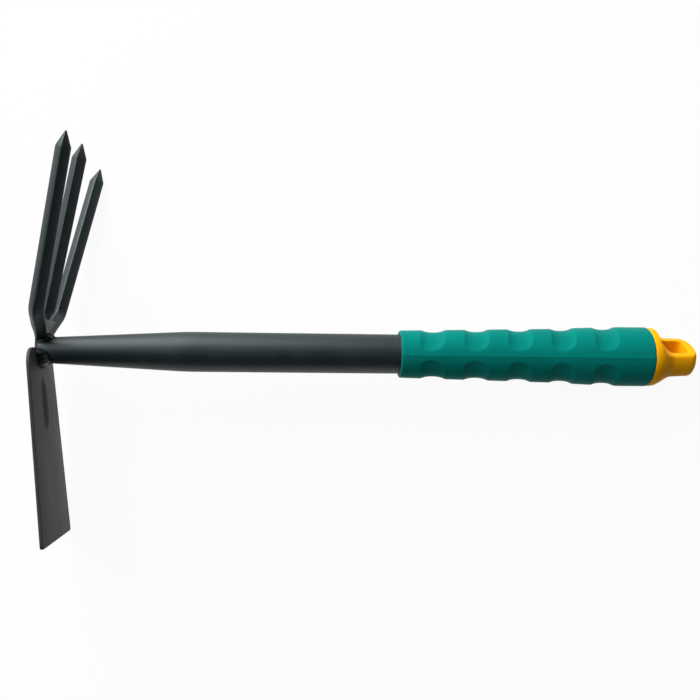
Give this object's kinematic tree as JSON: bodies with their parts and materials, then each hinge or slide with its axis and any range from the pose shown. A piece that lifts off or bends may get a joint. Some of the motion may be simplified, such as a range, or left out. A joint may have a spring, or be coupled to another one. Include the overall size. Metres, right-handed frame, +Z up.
{
  "type": "double hoe",
  "caption": "Hand-held double hoe with a flat blade on one side of the head, a fork of square tines on the other, and a short tube handle with a moulded grip and hanging tab.",
  "frame": {"origin": "on the ground, under the middle of the tool's box as it lies on its side", "axes": "+X along the handle from the head to the hanging tab, +Y towards the fork's points, +Z up from the ground; the tool lies on an outer tine, a corner of the blade and the rim of the cap, so the handle rises about 3 degrees towards the head"},
  "size_m": [0.4022, 0.2366, 0.094],
  "materials": {
    "black_powder_coat": "satin black powder coat",
    "coated_weld": "satin black coat over a rippled weld",
    "teal_grip_plastic": "smooth moulded plastic, half gloss",
    "yellow_cap_plastic": "smooth moulded plastic, half gloss"
  },
  "bodies": {
    "root": {"handle_tube": "black_powder_coat", "hoe_blade": "black_powder_coat", "fork": "black_powder_coat", "blade_weld": "coated_weld", "fork_weld": "coated_weld", "grip_sleeve": "teal_grip_plastic", "end_cap": "yellow_cap_plastic"}
  },
  "joints": []
}
